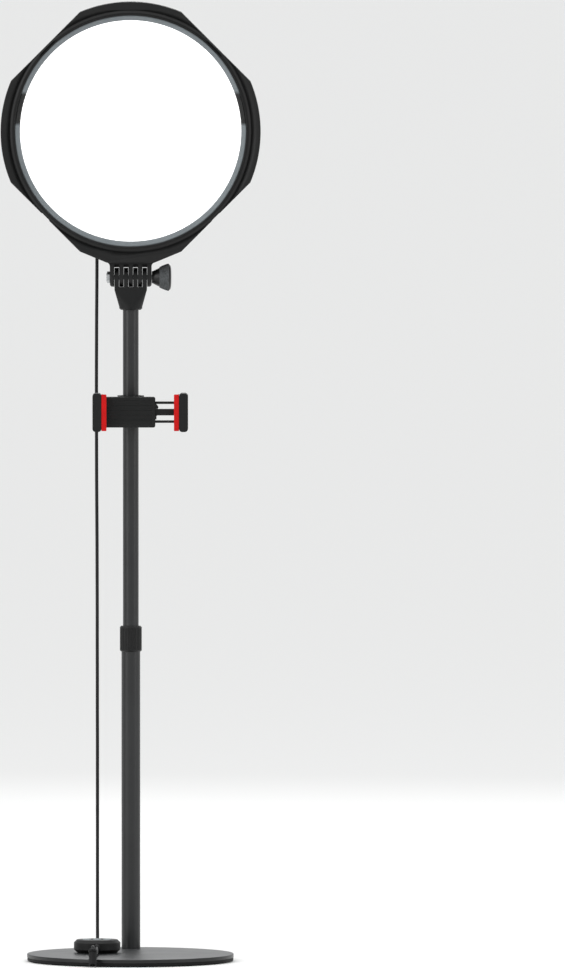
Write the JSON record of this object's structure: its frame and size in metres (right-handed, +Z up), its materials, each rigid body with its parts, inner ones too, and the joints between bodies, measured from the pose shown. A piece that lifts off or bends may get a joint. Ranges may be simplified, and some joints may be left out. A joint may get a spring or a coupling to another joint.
{
  "type": "ring light",
  "caption": "Round light panel on a two-stage pole with a weighted disc base, a phone holder on the pole and an in-line hand control.",
  "frame": {"origin": "centre of the round base, on the surface it stands on", "axes": "+Z up, -Y towards the viewer, +X to the viewer's right; the pole stands behind the centre"},
  "size_m": [0.2728, 0.2271, 1.0028],
  "materials": {
    "satin_steel": "satin powder-coated steel, dark grey",
    "black_abs": "fine spark-textured black ABS",
    "black_nylon": "satin glass-filled nylon",
    "black_tube": "black anodised aluminium tube",
    "knob_rubber": "overmoulded grip rubber",
    "red_rubber": "matt red silicone rubber",
    "black_rubber": "matt black rubber",
    "zinc_steel": "bright zinc-plated steel",
    "opal_acrylic": "opal acrylic, lit",
    "clear_acrylic": "polished clear acrylic",
    "white_film": "white reflective film",
    "rim_grey": "satin silver-grey plastic",
    "led_white": "white flexible circuit",
    "led_yellow": "yellow phosphor",
    "bare_aluminium": "mill finish",
    "green_board": "green solder mask",
    "white_acetal": "natural acetal",
    "button_grey": "light grey silicone",
    "cord_black": "matt black PVC"
  },
  "bodies": {
    "stand": {"base_plate": "satin_steel", "base_pan": "black_abs", "base_pad": "black_rubber", "pan_screws": "zinc_steel", "pole_bolt": "zinc_steel", "foot_insert": "zinc_steel", "lower_tube": "black_tube", "collet": "black_nylon", "controller_base": "black_abs", "controller_cover": "black_abs", "controller_board": "green_board", "controller_pad": "black_rubber", "rear_relief": "black_rubber", "front_relief": "black_rubber", "lead_lower": "cord_black", "outlet_cord": "cord_black", "power_socket": "cord_black"},
    "collar": {"lock_collar": "black_nylon"},
    "slider": {"tube_bush": "white_acetal", "lead_middle": "cord_black"},
    "mast": {"upper_tube": "black_tube", "socket_fitting": "black_nylon", "lead_upper": "cord_black"},
    "head": {"tilt_bracket": "black_nylon", "dome_nut": "zinc_steel", "front_bezel": "black_abs", "rear_cover": "black_abs", "window_ring": "rim_grey", "panel_gasket": "black_rubber", "diffuser": "opal_acrylic", "light_guide": "clear_acrylic", "reflector": "white_film", "led_strip": "led_white", "led_chips": "led_yellow", "heat_ring": "bare_aluminium", "back_plate": "bare_aluminium", "driver_board": "green_board", "head_screws": "zinc_steel", "head_gland": "black_rubber"},
    "tilt_knob": {"tilt_screw": "zinc_steel", "tilt_knob": "knob_rubber"},
    "clamp": {"clamp_body": "black_nylon", "clamp_cap": "black_nylon", "clamp_liner": "black_rubber", "clamp_screws": "zinc_steel", "tilt_pin": "zinc_steel"},
    "clamp_knob": {"clamp_knob": "knob_rubber"},
    "pivot": {"pivot_block": "black_nylon", "swivel_screw": "zinc_steel"},
    "holder": {"holder_body": "black_nylon", "fixed_jaw": "black_nylon", "fixed_pad": "red_rubber", "jaw_springs": "zinc_steel"},
    "jaw": {"sliding_jaw": "black_nylon", "sliding_pad": "red_rubber"},
    "power_key": {"power_button": "button_grey"},
    "dimmer_key": {"dimmer_button": "button_grey"},
    "tone_key": {"tone_button": "button_grey"}
  },
  "joints": [
    {"name": "collar_turn", "type": "hinge", "parent": "stand", "child": "collar", "pos_m": [0, 0.086, 0.3336], "axis": [0, 0, 1], "range_deg": [0, 90]},
    {"name": "mast_slide", "type": "slide", "parent": "stand", "child": "slider", "axis": [0, 0, 1], "range_m": [-0.165, 0], "deforming": ["lead_lower"]},
    {"name": "mast_turn", "type": "hinge", "parent": "slider", "child": "mast", "pos_m": [0, 0.086, 0.3], "axis": [0, 0, 1], "range_deg": [-30, 30], "deforming": ["lead_middle"]},
    {"name": "head_tilt", "type": "hinge", "parent": "mast", "child": "head", "pos_m": [0, 0.086, 0.7133], "axis": [1, 0, 0], "range_deg": [-90, 90], "deforming": ["lead_upper"]},
    {"name": "tilt_knob_turn", "type": "hinge", "parent": "head", "child": "tilt_knob", "pos_m": [0.03, 0.086, 0.7133], "axis": [1, 0, 0], "range_deg": [0, 180]},
    {"name": "holder_slide", "type": "slide", "parent": "mast", "child": "clamp", "axis": [0, 0, 1], "range_m": [-0.04, 0.02]},
    {"name": "clamp_knob_turn", "type": "hinge", "parent": "clamp", "child": "clamp_knob", "pos_m": [0.0205, 0.086, 0.5732], "axis": [0, 1, 0], "range_deg": [0, 180]},
    {"name": "holder_tilt", "type": "hinge", "parent": "clamp", "child": "pivot", "pos_m": [0, 0.065, 0.5732], "axis": [1, 0, 0], "range_deg": [-15, 15]},
    {"name": "holder_turn", "type": "hinge", "parent": "pivot", "child": "holder", "pos_m": [0, 0.056, 0.5732], "axis": [0, 1, 0], "range_deg": [-90, 90]},
    {"name": "jaw_slide", "type": "slide", "parent": "holder", "child": "jaw", "axis": [1, 0, 0], "range_m": [-0.0205, 0.012], "deforming": ["jaw_springs"]},
    {"name": "power_press", "type": "slide", "parent": "stand", "child": "power_key", "axis": [0, 0, 1], "range_m": [-0.0008, 0], "stiffness_N_per_m": 400, "springref_m": 0.0004},
    {"name": "dimmer_press", "type": "slide", "parent": "stand", "child": "dimmer_key", "axis": [0, 0, 1], "range_m": [-0.0008, 0], "stiffness_N_per_m": 400, "springref_m": 0.0004},
    {"name": "tone_press", "type": "slide", "parent": "stand", "child": "tone_key", "axis": [0, 0, 1], "range_m": [-0.0008, 0], "stiffness_N_per_m": 400, "springref_m": 0.0004}
  ]
}
